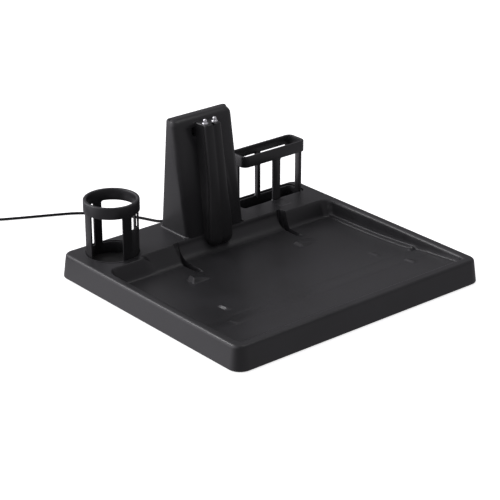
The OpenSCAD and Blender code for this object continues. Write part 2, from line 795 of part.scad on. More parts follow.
module adaptor_body() {
    color(satin) translate([adaptor_at[0], adaptor_at[1], 0]) difference() {
        linear_extrude(height = adaptor_t - 5) adaptor_plan(0);
        translate([0, 0, 2.4]) linear_extrude(height = adaptor_t) adaptor_plan(-2.4);
        translate([0, 0, adaptor_t / 2]) rotate([-90, 0, 0]) cylinder(r = 3, h = adaptor_l);
    }
}

module adaptor_cover() {
    color(plastic) translate([adaptor_at[0], adaptor_at[1], 0]) difference() {
        union() {
            translate([0, 0, adaptor_t - 5]) linear_extrude(height = 4) adaptor_plan(0);
            translate([0, 0, adaptor_t - 1]) linear_extrude(height = 1) adaptor_plan(-1);
        }
        translate([0, 0, adaptor_t - 6]) linear_extrude(height = 3.6) adaptor_plan(-2.4);
        for (x = [-1, 1]) translate([x * 6.35, 8, adaptor_t - 6]) cube([1.6, 6.4, 20], center = true);
    }
}

module adaptor_prong(side) {
    color("#c9b37a") translate([adaptor_at[0] + side * 6.35, adaptor_at[1] + 8, adaptor_t - 5])
        translate([-0.75, -3.15, 0]) difference() {
            cube([1.5, 6.3, 21]);
            translate([-1, 3.15, 17.6]) rotate([0, 90, 0]) cylinder(r = 1.6, h = 4);
        }
}

module adaptor_prong_left() { adaptor_prong(-1); }
module adaptor_prong_right() { adaptor_prong(1); }

module adaptor_relief() {
    start = adaptor_at[1] + adaptor_l / 2;
    color(soft_black) translate([adaptor_at[0], start - 3.4, adaptor_t / 2]) rotate([-90, 0, 0]) difference() {
        union() {
            cylinder(r = 4, h = 0.95);
            cylinder(r = 2.95, h = 4);
            translate([0, 0, 3.5]) cylinder(r1 = 3, r2 = 2, h = relief_l);
        }
        translate([0, 0, relief_l + 1.5]) cylinder(r = lead_d / 2, h = 10);
    }
}

base_tray();
base_bottom_plate();
base_screws();
foot_front_left();
foot_front_right();
foot_rear_left();
foot_rear_right();
tower_shell();
tower_back_cover();
tower_cover_screws();
tower_mount_screws();
tower_foot_trim();
charging_spine();
spine_screws();
contact_block();
contact_bush_left();
contact_bush_right();
contact_pin_left();
contact_pin_right();
contact_spring_left();
contact_spring_right();
contact_board();
board_header();
lead_connector();
inner_lead();
round_holder();
slot_holder();
cord_gland();
cord_clamp();
cord_clamp_screws();
power_cord();
cord_coil();
cord_tie();
cord_tail();
adaptor_relief();
adaptor_body();
adaptor_cover();
adaptor_prong_left();
adaptor_prong_right();
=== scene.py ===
import json
import math

import bmesh
import bpy
import numpy as np
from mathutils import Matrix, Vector


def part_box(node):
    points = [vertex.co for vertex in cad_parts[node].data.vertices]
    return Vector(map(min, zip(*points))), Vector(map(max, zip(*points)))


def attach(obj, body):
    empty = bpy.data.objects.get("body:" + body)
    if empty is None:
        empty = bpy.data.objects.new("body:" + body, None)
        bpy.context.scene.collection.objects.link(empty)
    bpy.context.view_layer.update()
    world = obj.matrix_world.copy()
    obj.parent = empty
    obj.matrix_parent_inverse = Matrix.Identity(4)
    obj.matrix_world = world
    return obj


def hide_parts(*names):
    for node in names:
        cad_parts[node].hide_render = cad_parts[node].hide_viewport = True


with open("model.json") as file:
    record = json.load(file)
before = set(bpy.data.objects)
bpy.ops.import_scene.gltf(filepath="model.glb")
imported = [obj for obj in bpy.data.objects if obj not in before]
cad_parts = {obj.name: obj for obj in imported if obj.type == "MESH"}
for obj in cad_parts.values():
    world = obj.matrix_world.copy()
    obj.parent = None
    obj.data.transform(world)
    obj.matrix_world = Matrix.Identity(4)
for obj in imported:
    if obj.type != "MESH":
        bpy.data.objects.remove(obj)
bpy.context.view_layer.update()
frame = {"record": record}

MM = 0.001
EDGE_ANGLE = math.radians(35)


# ---------- places, in millimetres, from the frame ----------
def box_mm(node):
    low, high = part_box(node)
    return np.array(low) / MM, np.array(high) / MM


TRAY_LOW, TRAY_HIGH = box_mm("base_tray")
HALF_W = TRAY_HIGH[0]
HALF_D = TRAY_HIGH[1]
SKIRT_Z = TRAY_LOW[2]
DECK_Z = 24.4
CORNER_R = 12.6
DRAFT = 3.0
EDGE_R = 3.2
WALL = 2.4
LEAD_D = 2.8

TOWER_LOW, TOWER_HIGH = box_mm("tower_shell")
TOWER_HALF = TOWER_HIGH[0]
TOWER_FRONT = TOWER_LOW[1]
TOWER_BACK = TOWER_HIGH[1]
TOWER_TOP = TOWER_HIGH[2]
TOWER_TOP_HALF = 36.2
TOWER_LEAN = 20 / 117
TOWER_BACK_LEAN = 0.0946
TOWER_FRONT_R, TOWER_BACK_R = 6.4, 2.6
TOWER_CROWN = 4.2
TOP_ARCH = 0.22
TOWER_WALL = 2.5

ROUND_LOW, ROUND_HIGH = box_mm("round_holder")
ROUND_AT = (ROUND_LOW + ROUND_HIGH) / 2
SLOT_LOW, SLOT_HIGH = box_mm("slot_holder")
SLOT_AT = (SLOT_LOW + SLOT_HIGH) / 2
BAND_H = 11.4
SOCKET_Z = 13
ROUND_BAND_R = (ROUND_HIGH[0] - ROUND_LOW[0]) / 2
ROUND_LEG_R = ROUND_BAND_R - 1.3
ROUND_BORE_R = 23.5
ROUND_SOCKET_R = ROUND_LEG_R + 0.5
SLOT_SIZE = (82.0, 25.4)
SLOT_CORNER = 6.5


# ---------- camera, first because the cords are judged from it ----------
def add_camera():
    azimuth, elevation, distance = math.radians(-39.9), math.radians(23.8), 1.817
    target = Vector((0.0295, 0.0639, 0.0))
    away = Vector((
        math.sin(azimuth) * math.cos(elevation),
        -math.cos(azimuth) * math.cos(elevation),
        math.sin(elevation),
    ))
    data = bpy.data.cameras.new("camera")
    data.sensor_width = 36
    data.lens = 132.35
    data.clip_end = 100
    camera = bpy.data.objects.new("camera", data)
    camera.location = target + away * distance
    camera.rotation_euler = (-away).to_track_quat("-Z", "Y").to_euler()
    bpy.context.scene.collection.objects.link(camera)
    bpy.context.scene.camera = camera


add_camera()


# ---------- mesh helpers ----------
def solid(name, verts, faces):
    """A closed mesh from points in millimetres."""
    mesh = bpy.data.meshes.new(name)
    mesh.from_pydata([tuple(float(c) * MM for c in v) for v in verts], [], [tuple(f) for f in faces])
    obj = bpy.data.objects.new(name, mesh)
    bpy.context.scene.collection.objects.link(obj)
    finish_mesh(obj)
    return obj


def finish_mesh(obj):
    """Outward normals, smooth shading and sharp edges by angle."""
    mesh = obj.data
    bm = bmesh.new()
    bm.from_mesh(mesh)
    bmesh.ops.remove_doubles(bm, verts=bm.verts, dist=1e-6)
    bmesh.ops.recalc_face_normals(bm, faces=bm.faces)
    bm.to_mesh(mesh)
    bm.free()
    mesh.shade_smooth()
    mesh.set_sharp_from_angle(angle=EDGE_ANGLE)


def become(obj, material, body, node):
    """Gives a finished mesh its material and its place in the frame."""
    obj.data.name = obj.name
    obj.data.materials.clear()
    obj.data.materials.append(material)
    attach(obj, body)
    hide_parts(node)


def applied(obj):
    """Replaces an object's mesh by what its modifiers make of it."""
    bpy.context.view_layer.update()
    result = bpy.data.meshes.new_from_object(obj.evaluated_get(bpy.context.evaluated_depsgraph_get()))
    old = obj.data
    obj.modifiers.clear()
    obj.data = result
    bpy.data.meshes.remove(old)


def boolean(obj, others, operation="DIFFERENCE"):
    """Cuts or joins plain solids into obj, then removes them."""
    for other in others:
        modifier = obj.modifiers.new("boolean", "BOOLEAN")
        modifier.operation = operation
        modifier.object = other
        modifier.solver = "MANIFOLD"
        applied(obj)
        bpy.data.objects.remove(other)


def bevel(obj, width, segments=2, angle=EDGE_ANGLE):
    """Rounds the sharp edges, with even shading on the flats."""
    bm = bmesh.new()
    bm.from_mesh(obj.data)
    bmesh.ops.remove_doubles(bm, verts=bm.verts, dist=2e-5)
    bmesh.ops.dissolve_limit(bm, angle_limit=math.radians(1), verts=bm.verts, edges=bm.edges)
    bm.to_mesh(obj.data)
    bm.free()
    modifier = obj.modifiers.new("bevel", "BEVEL")
    modifier.width = width * MM
    modifier.segments = segments
    modifier.limit_method = "ANGLE"
    modifier.angle_limit = angle
    modifier.use_clamp_overlap = True
    applied(obj)
    finish_mesh(obj)


def loop_rows(rows, closed_rows=False):
    """Quads between rows of points of equal length; each row is a closed loop."""
    n = len(rows[0])
    verts = [p for row in rows for p in row]
    count = len(rows)
    faces = []
    for i in range(count if closed_rows else count - 1):
        for k in range(n):
            a, b = i * n + k, i * n + (k + 1) % n
            c = ((i + 1) % count) * n
            faces.append((a, b, c + (k + 1) % n, c + k))
    return verts, faces


def capped(rows):
    """A closed solid from loops of points, with a flat cap at each end."""
    verts, faces = loop_rows(rows)
    n = len(rows[0])
    faces.append(tuple(range(n))[::-1])
    faces.append(tuple(range(len(verts) - n, len(verts))))
    return verts, faces


def rounded_rectangle(width, depth, radius, steps=8, centre=(0, 0)):
    """Points round a rounded rectangle, anticlockwise from the right side's lower end."""
    points = []
    for sx, sy, start in ((1, -1, -90), (1, 1, 0), (-1, 1, 90), (-1, -1, 180)):
        for k in range(steps + 1):
            a = math.radians(start + 90 * k / steps)
            points.append((
                centre[0] + sx * (width / 2 - radius) + radius * math.cos(a),
                centre[1] + sy * (depth / 2 - radius) + radius * math.sin(a),
            ))
    return points


def circle(centre, radius, steps):
    """Points round a circle in its own plane."""
    turns = [2 * math.pi * k / steps for k in range(steps)]
    return [(centre[0] + radius * math.cos(a), centre[1] + radius * math.sin(a)) for a in turns]


def at_height(points, z):
    """Points of a plan, at one height."""
    return [(x, y, z) for x, y in points]


def at_depth(points, y):
    """Points of a front view, at one depth."""
    return [(x, y, z) for x, z in points]


def lathe(name, profile, centre, steps):
    """A solid turned about an upright axis, from (radius, height) points that close on themselves."""
    rows = [at_height(circle(centre, r, steps), z) for r, z in profile]
    return solid(name, *loop_rows(rows, closed_rows=True))


def prism(name, outline, low, high):
    """A tool solid: an outline in plan pulled up between two heights."""
    return solid(name, *capped([at_height(outline, low), at_height(outline, high)]))


def cylinder_tool(name, radius, low, high, centre, steps=96):
    """An upright cylinder tool."""
    return prism(name, circle(centre, radius, steps), low, high)


def turned_tool(radius, x, z, y0, y1):
    """A cylinder tool along Y."""
    ring = circle((x, z), radius, 32)
    return solid("bore", *capped([at_depth(ring, y) for y in (y0, y1)]))


def box_tool(x0, x1, y0, y1, z0, z1, radius=0.0):
    """A box tool, with its edges along Y rounded where a radius is given."""
    if not radius:
        return prism("box", [(x0, y0), (x1, y0), (x1, y1), (x0, y1)], z0, z1)
    outline = rounded_rectangle(x1 - x0, z1 - z0, radius, 4, ((x0 + x1) / 2, (z0 + z1) / 2))
    return solid("box", *capped([at_depth(outline, y) for y in (y0, y1)]))


def ease(t):
    """Runs smoothly from 0 to 1 as t does, and stays there outside."""
    t = np.clip(t, 0, 1)
    return t * t * (3 - 2 * t)


# ---------- materials ----------
class Shader:
    """A material's node tree with short calls for the nodes used here."""

    def __init__(self, name):
        self.material = bpy.data.materials.new(name)
        self.material.use_nodes = True
        self.nodes = self.material.node_tree.nodes
        self.links = self.material.node_tree.links
        self.surface = self.nodes["Principled BSDF"]
        self.place = self.nodes.new("ShaderNodeTexCoord").outputs["Object"]

    def set(self, **values):
        for key, value in values.items():
            self.surface.inputs[key.replace("_", " ")].default_value = value

    def link(self, output, socket):
        self.links.new(output, self.surface.inputs[socket])

    def noise(self, size_mm, detail=2.0, stretch=(1, 1, 1)):
        """Noise between 0 and 1 whose lumps are about size_mm across."""
        mapping = self.nodes.new("ShaderNodeMapping")
        mapping.inputs["Scale"].default_value = stretch
        self.links.new(self.place, mapping.inputs["Vector"])
        texture = self.nodes.new("ShaderNodeTexNoise")
        texture.inputs["Scale"].default_value = 1 / (size_mm * MM)
        texture.inputs["Detail"].default_value = detail
        self.links.new(mapping.outputs["Vector"], texture.inputs["Vector"])
        return texture.outputs["Fac"]

    def cells(self, size_mm):
        """Distance to the nearest of points about size_mm apart."""
        texture = self.nodes.new("ShaderNodeTexVoronoi")
        texture.inputs["Scale"].default_value = 1 / (size_mm * MM)
        self.links.new(self.place, texture.inputs["Vector"])
        return texture.outputs["Distance"]

    def span(self, value, low, high, from_low=0.3, from_high=0.7):
        """Maps a texture's usual range to low..high."""
        node = self.nodes.new("ShaderNodeMapRange")
        node.inputs["From Min"].default_value = from_low
        node.inputs["From Max"].default_value = from_high
        node.inputs["To Min"].default_value = low
        node.inputs["To Max"].default_value = high
        self.links.new(value, node.inputs["Value"])
        return node.outputs["Result"]

    def math(self, operation, a, b):
        node = self.nodes.new("ShaderNodeMath")
        node.operation = operation
        for socket, value in zip(node.inputs, (a, b)):
            if isinstance(value, (int, float)):
                socket.default_value = value
            else:
                self.links.new(value, socket)
        return node.outputs["Value"]

    def blend(self, factor, first, second):
        """Mixes two colours, each a tuple or a node's output."""
        node = self.nodes.new("ShaderNodeMix")
        node.data_type = "RGBA"
        for socket, tone in (("A", first), ("B", second)):
            if isinstance(tone, tuple):
                node.inputs[socket].default_value = (*tone, 1)
            else:
                self.links.new(tone, node.inputs[socket])
        self.links.new(factor, node.inputs["Factor"])
        return node.outputs["Result"]

    def edges(self, radius_mm):
        """About 1 on convex and concave edges and 0 on flats."""
        bevel_node = self.nodes.new("ShaderNodeBevel")
        bevel_node.samples = 4
        bevel_node.inputs["Radius"].default_value = radius_mm * MM
        geometry = self.nodes.new("ShaderNodeNewGeometry")
        dot = self.nodes.new("ShaderNodeVectorMath")
        dot.operation = "DOT_PRODUCT"
        self.links.new(bevel_node.outputs["Normal"], dot.inputs[0])
        self.links.new(geometry.outputs["Normal"], dot.inputs[1])
        return self.span(dot.outputs["Value"], 1, 0, 0.8, 0.99)

    def bump(self, height, depth_mm):
        node = self.nodes.new("ShaderNodeBump")
        node.inputs["Distance"].default_value = depth_mm * MM
        self.links.new(height, node.inputs["Height"])
        self.link(node.outputs["Normal"], "Normal")


def moulded_plastic(name, dark, light, rough, grain_mm, grain_depth_mm, edge_tone):
    """Moulded plastic: a fine spark-eroded grain, slight clouding and edges polished by use."""
    s = Shader(name)
    s.set(IOR=1.5, Specular_IOR_Level=0.5)
    cloud = s.noise(38, 3)
    fine = s.noise(grain_mm, 3)
    base = s.blend(s.span(cloud, 0, 1), dark, light)
    worn = s.math("MULTIPLY", s.edges(0.9), 0.5)
    s.link(s.blend(worn, base, edge_tone), "Base Color")
    s.link(s.math("ADD", s.span(cloud, rough - 0.03, rough + 0.03), s.span(fine, -0.04, 0.04)), "Roughness")
    s.bump(s.math("ADD", fine, s.math("MULTIPLY", s.cells(grain_mm * 1.7), 0.6)), grain_depth_mm)
    return s.material


def soft_rubber(name, tone, rough, sheen, specular=0.5):
    """Rubber or soft vinyl with a little pale dust."""
    s = Shader(name)
    s.set(Sheen_Weight=sheen, Sheen_Roughness=0.4, Specular_IOR_Level=specular)
    dust = s.noise(14, 4)
    s.link(s.blend(s.span(dust, 0, 1), tone, tuple(c * 1.5 + 0.004 for c in tone)), "Base Color")
    s.link(s.span(s.noise(2.5, 2), rough - 0.06, rough + 0.06), "Roughness")
    s.bump(s.noise(0.35, 2), 0.02)
    return s.material


def plated(name, tone, rough):
    """Bright nickel plate with faint turning lines."""
    s = Shader(name)
    s.set(Metallic=1.0)
    lines = s.noise(0.25, 2, stretch=(0.15, 0.15, 1))
    s.link(s.blend(s.span(s.noise(3, 2), 0, 1), tone, tuple(c * 0.9 for c in tone)), "Base Color")
    s.link(s.span(lines, rough, rough + 0.08), "Roughness")
    s.bump(lines, 0.003)
    return s.material


def circuit_board_green():
    s = Shader("circuit board")
    s.set(Coat_Weight=0.6, Coat_Roughness=0.2)
    s.link(s.blend(s.span(s.noise(1.1, 1), 0, 1), (0.012, 0.11, 0.04), (0.02, 0.16, 0.06)), "Base Color")
    s.link(s.span(s.noise(0.8, 2), 0.3, 0.45), "Roughness")
    s.bump(s.noise(0.7, 1), 0.02)
    return s.material


DOCK = moulded_plastic("dock plastic", (0.020, 0.020, 0.021), (0.026, 0.026, 0.028), 0.36, 0.55, 0.022,
                       (0.05, 0.05, 0.054))
SATIN = moulded_plastic("satin plastic", (0.014, 0.014, 0.015), (0.019, 0.019, 0.02), 0.4, 0.45, 0.014,
                        (0.04, 0.04, 0.042))
TRIM = moulded_plastic("satin trim", (0.03, 0.03, 0.031), (0.036, 0.036, 0.038), 0.25, 0.4, 0.008,
                       (0.07, 0.07, 0.072))
# the sockets' insides: a dark colour that is painted shade in the recesses, with a more matt finish
SOCKET_SHADE_PLASTIC = moulded_plastic("socket painted shade", (0.005, 0.005, 0.005), (0.007, 0.007, 0.007), 0.75, 0.6, 0.03,
                         (0.012, 0.012, 0.012))
RUBBER = soft_rubber("rubber", (0.012, 0.012, 0.012), 0.68, 0.1)
JACKET = soft_rubber("cord jacket", (0.006, 0.006, 0.007), 0.6, 0.0, 0.22)
CHROME = plated("nickel plate", (0.82, 0.82, 0.84), 0.12)
STEEL = plated("zinc plate", (0.5, 0.51, 0.54), 0.3)
BRASS = plated("brass", (0.72, 0.55, 0.27), 0.24)
NYLON = moulded_plastic("natural nylon", (0.55, 0.53, 0.46), (0.62, 0.6, 0.53), 0.5, 0.6, 0.01,
                        (0.7, 0.68, 0.6))
BOARD = circuit_board_green()


# ---------- stage and light ----------
BRIGHT_SIDE = (-0.64, 0.65, 0.41)
# the world's brightness, from facing away from the bright side (0) to facing it (1)
WORLD_TONES = [(0.0, 0.35), (0.3, 0.28), (0.6, 0.21), (0.8, 0.5), (0.87, 0.92), (0.93, 1.5), (1.0, 1.8)]


def emitter_floor(name, glow, albedo):
    """A pale surface that stays near white and still takes a soft shadow."""
    material = bpy.data.materials.new(name)
    material.use_nodes = True
    nodes, links = material.node_tree.nodes, material.node_tree.links
    nodes.clear()
    emission = nodes.new("ShaderNodeEmission")
    emission.inputs["Color"].default_value = (1, 1, 1, 1)
    emission.inputs["Strength"].default_value = glow
    diffuse = nodes.new("ShaderNodeBsdfDiffuse")
    diffuse.inputs["Color"].default_value = (albedo, albedo, albedo, 1)
    add = nodes.new("ShaderNodeAddShader")
    links.new(emission.outputs[0], add.inputs[0])
    links.new(diffuse.outputs[0], add.inputs[1])
    links.new(add.outputs[0], nodes.new("ShaderNodeOutputMaterial").inputs["Surface"])
    return material


def add_stage():
    """A pale floor and a pale wall all round. The object is lit by the world, so they don't light it."""
    size, height = 9.0, 5.0
    corners = [(-size, -size, 0), (size, -size, 0), (size, size, 0), (-size, size, 0)]
    mesh = bpy.data.meshes.new("floor")
    mesh.from_pydata(corners, [], [(0, 1, 2, 3)])
    floor = bpy.data.objects.new("floor", mesh)
    wall_mesh = bpy.data.meshes.new("backdrop")
    wall_mesh.from_pydata(
        corners + [(x, y, height) for x, y, _ in corners], [],
        [(k, (k + 1) % 4, (k + 1) % 4 + 4, k + 4) for k in range(4)],
    )
    wall = bpy.data.objects.new("backdrop", wall_mesh)
    looks = ((floor, emitter_floor("pale floor", 0.78, 0.8)), (wall, emitter_floor("pale wall", 1.0, 0)))
    for obj, material in looks:
        bpy.context.scene.collection.objects.link(obj)
        obj.data.materials.append(material)
        obj.visible_diffuse = False
        obj.visible_glossy = False
        obj.visible_shadow = False
        obj.visible_transmission = False


def add_world():
    """A pale studio: brightest behind the dock on its left, dim towards the camera's side."""
    world = bpy.data.worlds.new("studio")
    bpy.context.scene.world = world
    world.use_nodes = True
    nodes, links = world.node_tree.nodes, world.node_tree.links
    direction = nodes.new("ShaderNodeTexCoord").outputs["Generated"]
    dot = nodes.new("ShaderNodeVectorMath")
    dot.operation = "DOT_PRODUCT"
    dot.inputs[1].default_value = BRIGHT_SIDE
    links.new(direction, dot.inputs[0])
    ramp = nodes.new("ShaderNodeValToRGB")
    spread = nodes.new("ShaderNodeMapRange")
    spread.inputs["From Min"].default_value = -1
    links.new(dot.outputs["Value"], spread.inputs["Value"])
    links.new(spread.outputs["Result"], ramp.inputs["Fac"])
    elements = ramp.color_ramp.elements
    while len(elements) < len(WORLD_TONES):
        elements.new(0.5)
    for element, (place, tone) in zip(elements, WORLD_TONES):
        element.position = place
        element.color = (tone, 0.972 * tone, 1.03 * tone, 1)
    links.new(ramp.outputs["Color"], nodes["Background"].inputs["Color"])


def add_softbox(name, towards, distance, size, power):
    """An area light that looks at the tower's foot from a direction."""
    data = bpy.data.lights.new(name, "AREA")
    data.shape = "RECTANGLE"
    data.size, data.size_y = size
    data.energy = power
    light = bpy.data.objects.new(name, data)
    towards = Vector(towards).normalized()
    light.location = Vector((0, 0.05, 0.05)) + towards * distance
    light.rotation_euler = (-towards).to_track_quat("-Z", "Y").to_euler()
    bpy.context.scene.collection.objects.link(light)


add_stage()
add_world()
add_softbox("left softbox", (-0.45, 0.62, 0.65), 1.5, (0.4, 0.4), 4.6)
add_softbox("top softbox", (0.35, -0.1, 0.95), 1.4, (0.7, 0.5), 1.6)
bpy.context.scene.view_settings.view_transform = "Standard"


# ---------- cord ----------
# its middle, from the gland to the coil and from the coil to the adaptor
CORD_ROUTE = [
    (10, 153, 8), (9.5, 158, 7.6), (8, 165, 5.4), (5, 172, 2.8), (1.5, 179, 1.5), (-2, 187, 1.4),
    (-6, 196, 1.4), (-14, 210, 1.4), (-24, 224, 1.4), (-36, 237, 1.4), (-50, 249, 1.4),
    (-66, 258, 1.4), (-84, 267, 1.4), (-102, 276, 1.4), (-118, 284.5, 1.4), (-130, 291.5, 1.6),
    (-142, 299, 2), (-148, 302.3, 2.2),
]
CORD_TAIL = [
    (-176, 303.1, 10.6), (-180.3, 300.9, 10.8), (-187.6, 296.7, 11.1), (-194.9, 292.5, 12),
    (-199.1, 289.3, 12.8), (-202.3, 285.1, 13.5), (-204.3, 280.3, 13.9), (-205, 275, 14), (-205, 266, 14),
    (-205, 256, 14), (-205, 246, 14),
]
COIL_AT = (-163, 287)
COIL_OUTER, COIL_LAYERS, COIL_TURNS = 20.6, 4, 3
COIL_FLOOR = 2.2
COIL_FROM, COIL_TO = math.radians(60), math.radians(112)


def coil_points(steps=18):
    """Flat layers of turns a lead's width apart, wound inwards and outwards in turn."""
    stations = []
    radius, side = COIL_OUTER, -1
    for layer in range(COIL_LAYERS):
        z = COIL_FLOOR + layer * LEAD_D
        if layer:
            stations += [(radius, z - LEAD_D + LEAD_D * ease(k / steps / 0.4)) for k in range(steps)]
        for _ in range(COIL_TURNS):
            for k in range(steps):
                along = k / steps if layer == 0 else ease(k / steps / 0.4)
                stations.append((radius + side * LEAD_D * along, z))
            radius += side * LEAD_D
        side = -side
    extra = round((COIL_TO - COIL_FROM) / (2 * math.pi) * steps)
    stations += [(radius, z)] * (extra + 1)
    points = []
    for k, (r, height) in enumerate(stations):
        angle = COIL_FROM + 2 * math.pi * k / steps
        points.append((COIL_AT[0] + r * math.cos(angle), COIL_AT[1] + r * math.sin(angle), height))
    return points


def smooth_curve(name, points, radius, material):
    """A round tube along one Bezier spline whose handles follow its neighbours."""
    curve = bpy.data.curves.new(name, "CURVE")
    curve.dimensions = "3D"
    curve.bevel_depth = radius * MM
    curve.bevel_resolution = 4
    curve.resolution_u = 4
    curve.use_fill_caps = True
    spline = curve.splines.new("BEZIER")
    spline.bezier_points.add(len(points) - 1)
    vectors = [Vector(p) * MM for p in points]
    for k, (knot, here) in enumerate(zip(spline.bezier_points, vectors)):
        before, after = vectors[max(k - 1, 0)], vectors[min(k + 1, len(vectors) - 1)]
        forward = (after - before).normalized()
        knot.handle_left_type = knot.handle_right_type = "FREE"
        knot.co = here
        knot.handle_left = here - forward * (here - before).length / 3
        knot.handle_right = here + forward * (after - here).length / 3
    obj = bpy.data.objects.new(name, curve)
    bpy.context.scene.collection.objects.link(obj)
    obj.data.materials.append(material)
    return obj


def add_cord():
    points = CORD_ROUTE + coil_points() + CORD_TAIL
    lead = smooth_curve("lead", points, LEAD_D / 2, JACKET)
    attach(lead, "dock")
    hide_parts("power_cord", "cord_coil", "cord_tail")


# ---------- tray ----------
# the floor is lowest at one Y, and curves up from there by the square of the distance
FLOOR_LOW, FLOOR_LOW_Y, FLOOR_CURVE = 7.5, 40, 0.0005
STEP_FROM, STEP_TO, STEP_RISE = -57, -80, 2.5
PLATFORM_RISE = 0.084
LIP_FROM, LIP_WIDTH = -113.5, 11
SIDE_X = 137.0
CORNER_PLAN_R = 9
SIDE_LEAN, SIDE_FOOT_R, SIDE_TOP_R = math.radians(4), 1.6, 3.4
BACK_LEAN = math.radians(20)
# stretches of the back wall, each by its top edge's Y, lean, foot radius and top radius
LEFT_WALL = (71, BACK_LEAN, 4, 1.2)
WIDE_WALL = (78, math.radians(39), 9, 1.2)
COVE_WALL = (79.4, 0.02, 16, 0.9)
RIGHT_WALL = (72.5, BACK_LEAN, 4, 1.2)
# from the left to the right: the next stretch, where it starts and over how far it takes over
WALL_CHANGES = [(WIDE_WALL, -98, 15), (COVE_WALL, -48.6, 1), (RIGHT_WALL, 80.2, 1)]
# grooves in the floor that run back into the wall: left and right X, front Y, depth
GROOVES = [(-54.4, -48, 39, 5.2), (77.4, 82.2, 43, 3.8)]
GROOVE_BACK = 5.4
# a shallow dent in the deck: X span, Y span, depth
DENT = (89, 102, 86.5, 99.5, 0.7)
# wedges on the floor in front of the wall: left X, run, height
WEDGES = [(-73, 20, 4.8), (61, 20.5, 2.2)]
# low marks on the floor: middle X and Y, height
RIBS = [(-87, -39, 1.6), (-103, -74, 0.7), (100, -40, 0.7), (109, -80, 1.2)]
# spans of X and Y where the tray's grid is finer than its coarse step
GRID_STEP = 3.2
FINE_X = [(-137.4, -133.4, 0.4), (-105, -84, 1), (-75, -70, 0.4), (-56, -45.5, 0.4),
          (59, 65, 0.5), (76, 84, 0.4), (87, 112, 1), (129, 137.4, 0.5)]
FINE_Y = [(-122.4, -111, 0.8), (-88, -56, 1), (-50, -33, 1.5), (20.5, 38, 0.6), (38, 58, 1.2), (58, 74, 0.6),
          (74, 80.4, 0.3), (80.4, 85, 0.6), (85, 101, 1)]


def bump_window(v, low, high, soft):
    """About 1 between low and high and 0 outside, with soft ends."""
    return ease((v - low) / soft + 0.5) * ease((high - v) / soft + 0.5)


def floor_height(y):
    """The floor falls gently to the back, and a soft step leads to the front platform."""
    deep = FLOOR_LOW + FLOOR_CURVE * (np.maximum(y, STEP_FROM) - FLOOR_LOW_Y) ** 2
    step = STEP_RISE * ease((STEP_FROM - y) / (STEP_FROM - STEP_TO))
    return deep + step + PLATFORM_RISE * np.maximum(0, STEP_TO - y)


def wall_profile(out, floor, lean, foot_r, top_r):
    """Height at a distance outside the wall's foot, with rounded foot and top."""
    half = np.tan((math.pi / 2 - lean) / 2)
    plane = floor + out / np.tan(lean)
    foot = out + foot_r * half
    foot_arc = floor + foot_r - np.sqrt(np.maximum(foot_r ** 2 - foot ** 2, 0))
    z = np.where(foot < 0, floor, np.where(foot < foot_r * np.cos(lean), foot_arc, plane))
    beyond = out - (DECK_Z - floor) * np.tan(lean) - top_r * half
    top_arc = DECK_Z - top_r + np.sqrt(np.maximum(top_r ** 2 - np.minimum(beyond, 0) ** 2, 0))
    return np.where(beyond > 0, DECK_Z, np.where(beyond > -top_r * np.cos(lean), np.minimum(top_arc, z), z))


def recess_zone(x, y, edge, lean, foot_r, top_r):
    """Height with the back wall's top edge at one depth and the side walls beside it."""
    floor = floor_height(y)
    foot_y = edge - (DECK_Z - FLOOR_LOW) * math.tan(lean)
    a = np.maximum(np.abs(x) - (SIDE_X - CORNER_PLAN_R), 0)
    b = np.maximum(y - (foot_y - CORNER_PLAN_R), 0)
    out = np.where(a + b > 0, np.hypot(a, b), 0) - CORNER_PLAN_R
    out = np.where((a == 0) & (b == 0), -CORNER_PLAN_R, out)
    toward_back = b ** 2 / np.maximum(a ** 2 + b ** 2, 1e-6)
    blend_lean = SIDE_LEAN + (lean - SIDE_LEAN) * toward_back
    blend_foot = SIDE_FOOT_R + (foot_r - SIDE_FOOT_R) * toward_back
    blend_top = SIDE_TOP_R + (top_r - SIDE_TOP_R) * toward_back
    side = wall_profile(out, floor, blend_lean, blend_foot, blend_top)
    if foot_r <= CORNER_PLAN_R:
        return side
    cove = wall_profile(y - foot_y, floor, lean, foot_r, top_r)
    return np.where(np.abs(x) < SIDE_X - 20, cove, side)


def tray_height(x, y):
    """Height of the tray's top at arrays of places."""
    cuts = [(deep, bump_window(x, x0, x1, 1.3) * ease((y - y0) / 15)) for x0, x1, y0, deep in GROOVES]
    # the grooves run back under the cove's edge
    y_in = y - GROOVE_BACK * sum(cut for _, cut in cuts) * ease((81 - y) / 2.4)
    z = recess_zone(x, y_in, *LEFT_WALL)
    for wall, start, over in WALL_CHANGES:
        share = ease((x - start) / over)
        z = z * (1 - share) + recess_zone(x, y_in, *wall) * share
    lip = ease((LIP_FROM - y) / LIP_WIDTH)
    z = z + (DECK_Z - z) * lip
    open_floor = z < DECK_Z - 0.3
    z = z - sum(deep * cut for deep, cut in cuts) * ease((79 - y) / 3)
    # each wedge rises steeply at its left end and falls away slowly
    for x0, run, high in WEDGES:
        shape = np.minimum((x - x0) / 2.8, 1 - (x - x0 - 2.8) / run)
        z = z + high * np.clip(shape, 0, 1) * ease((y - 22) / 5) * ease((36 - y) / 2)
    for x0, y0, high in RIBS:
        z = z + high * bump_window(x, x0 - 2, x0 + 2, 1.2) * bump_window(y, y0 - 6, y0 + 6, 3)
    x0, x1, y0, y1, deep = DENT
    z = z - deep * bump_window(x, x0, x1, 3) * bump_window(y, y0, y1, 3)
    # a narrow ledge along the deep floor's sides, hooked inwards at the step
    ledge = bump_window(np.abs(x), SIDE_X - 2.8, SIDE_X + 2, 0.9) * ease((y - STEP_FROM + 2) / 3)
    at_step = bump_window(y, STEP_FROM - 2, STEP_FROM + 1.5, 1.6)
    hook = bump_window(np.abs(x), SIDE_X - 8, SIDE_X + 2, 2) * at_step
    return z + np.where(open_floor & (z < FLOOR_LOW + 9), 2.0 * np.maximum(ledge, 0.6 * hook), 0)


